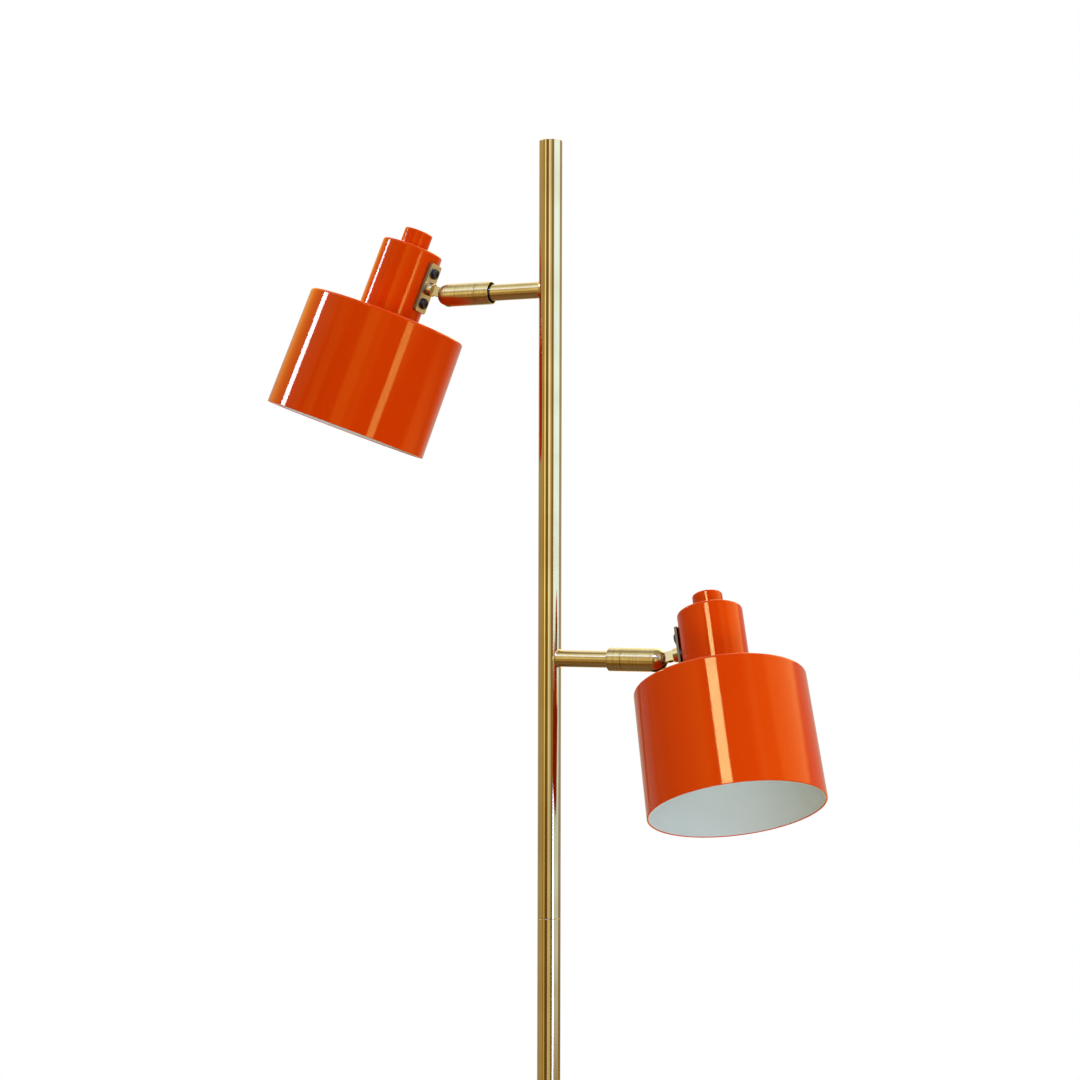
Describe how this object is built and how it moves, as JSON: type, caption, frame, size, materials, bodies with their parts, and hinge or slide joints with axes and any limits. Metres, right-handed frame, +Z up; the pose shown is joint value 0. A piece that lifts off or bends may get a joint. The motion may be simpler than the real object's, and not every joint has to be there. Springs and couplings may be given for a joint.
{
  "type": "two-head floor lamp",
  "caption": "Slim brass floor lamp with a round weighted base and short side arms; each stepped cylindrical shade swivels about its arm and tilts at a slotted knuckle.",
  "frame": {"origin": "centre of the base underside on the pole axis, on the floor", "axes": "+Z up along the pole; +X along the lower arm, -X along the upper arm; +Y towards the side of the base with the cord inlet"},
  "size_m": [0.4188, 0.2724, 1.5],
  "materials": {
    "brass_satin": "satin aged brass with fine brushing",
    "brass_plate": "pale satin brass, brushed flat",
    "orange_enamel": "high gloss orange enamel outside, matt white inside",
    "black_steel": "blackened steel, satin",
    "zinc_steel": "zinc plated steel",
    "cast_iron": "raw casting",
    "black_rubber": "matt",
    "holder_plastic": "moulded, satin",
    "holder_ceramic": "unglazed",
    "contact_brass": "bright stamped"
  },
  "bodies": {
    "stand": {"base_cover": "brass_satin", "base_nut": "zinc_steel", "base_pad": "black_rubber", "base_rod": "zinc_steel", "base_spacer": "zinc_steel", "base_washer": "zinc_steel", "base_weight": "cast_iron", "cord_bush": "black_rubber", "lower_arm_tube": "brass_satin", "lower_swivel_collar": "brass_satin", "lower_swivel_washer": "zinc_steel", "pole_coupler_lower": "zinc_steel", "pole_coupler_upper": "zinc_steel", "pole_foot_insert": "zinc_steel", "pole_lower": "brass_satin", "pole_middle": "brass_satin", "pole_socket": "brass_satin", "pole_top_plug": "brass_satin", "pole_upper": "brass_satin", "socket_grub_screw": "black_steel", "upper_arm_tube": "brass_satin", "upper_swivel_collar": "brass_satin", "upper_swivel_washer": "zinc_steel"},
    "upper_knuckle_body": {"upper_knuckle": "brass_satin", "upper_swivel_screw": "zinc_steel", "upper_tilt_pin": "brass_satin"},
    "upper_head": {"upper_bracket_plate": "brass_plate", "upper_centre_contact": "contact_brass", "upper_holder_core": "holder_ceramic", "upper_holder_nut": "zinc_steel", "upper_holder_rod": "zinc_steel", "upper_lampholder": "holder_plastic", "upper_plate_nuts": "zinc_steel", "upper_plate_screws": "black_steel", "upper_shade": "orange_enamel", "upper_shade_cap": "orange_enamel", "upper_socket_liner": "contact_brass", "upper_stud_nut": "zinc_steel", "upper_tongue": "brass_satin"},
    "lower_knuckle_body": {"lower_knuckle": "brass_satin", "lower_swivel_screw": "zinc_steel", "lower_tilt_pin": "brass_satin"},
    "lower_head": {"lower_bracket_plate": "brass_plate", "lower_centre_contact": "contact_brass", "lower_holder_core": "holder_ceramic", "lower_holder_nut": "zinc_steel", "lower_holder_rod": "zinc_steel", "lower_lampholder": "holder_plastic", "lower_plate_nuts": "zinc_steel", "lower_plate_screws": "black_steel", "lower_shade": "orange_enamel", "lower_shade_cap": "orange_enamel", "lower_socket_liner": "contact_brass", "lower_stud_nut": "zinc_steel", "lower_tongue": "brass_satin"}
  },
  "joints": [
    {"name": "upper_swivel", "type": "hinge", "parent": "stand", "child": "upper_knuckle_body", "pos_m": [-0.056, 0, 1.3965], "axis": [-1, 0, 0], "range_deg": [-172.98, 157.02]},
    {"name": "upper_tilt", "type": "hinge", "parent": "upper_knuckle_body", "child": "upper_head", "pos_m": [-0.0795, 0, 1.3965], "axis": [0, 0.9903, -0.1388], "range_deg": [-43.8, 6.2]},
    {"name": "lower_swivel", "type": "hinge", "parent": "stand", "child": "lower_knuckle_body", "pos_m": [0.056, 0, 1.1403], "axis": [1, 0, 0], "range_deg": [-145.88, 184.12]},
    {"name": "lower_tilt", "type": "hinge", "parent": "lower_knuckle_body", "child": "lower_head", "pos_m": [0.0795, 0, 1.1403], "axis": [0, -0.9448, 0.3276], "range_deg": [-39.94, 10.06]}
  ]
}
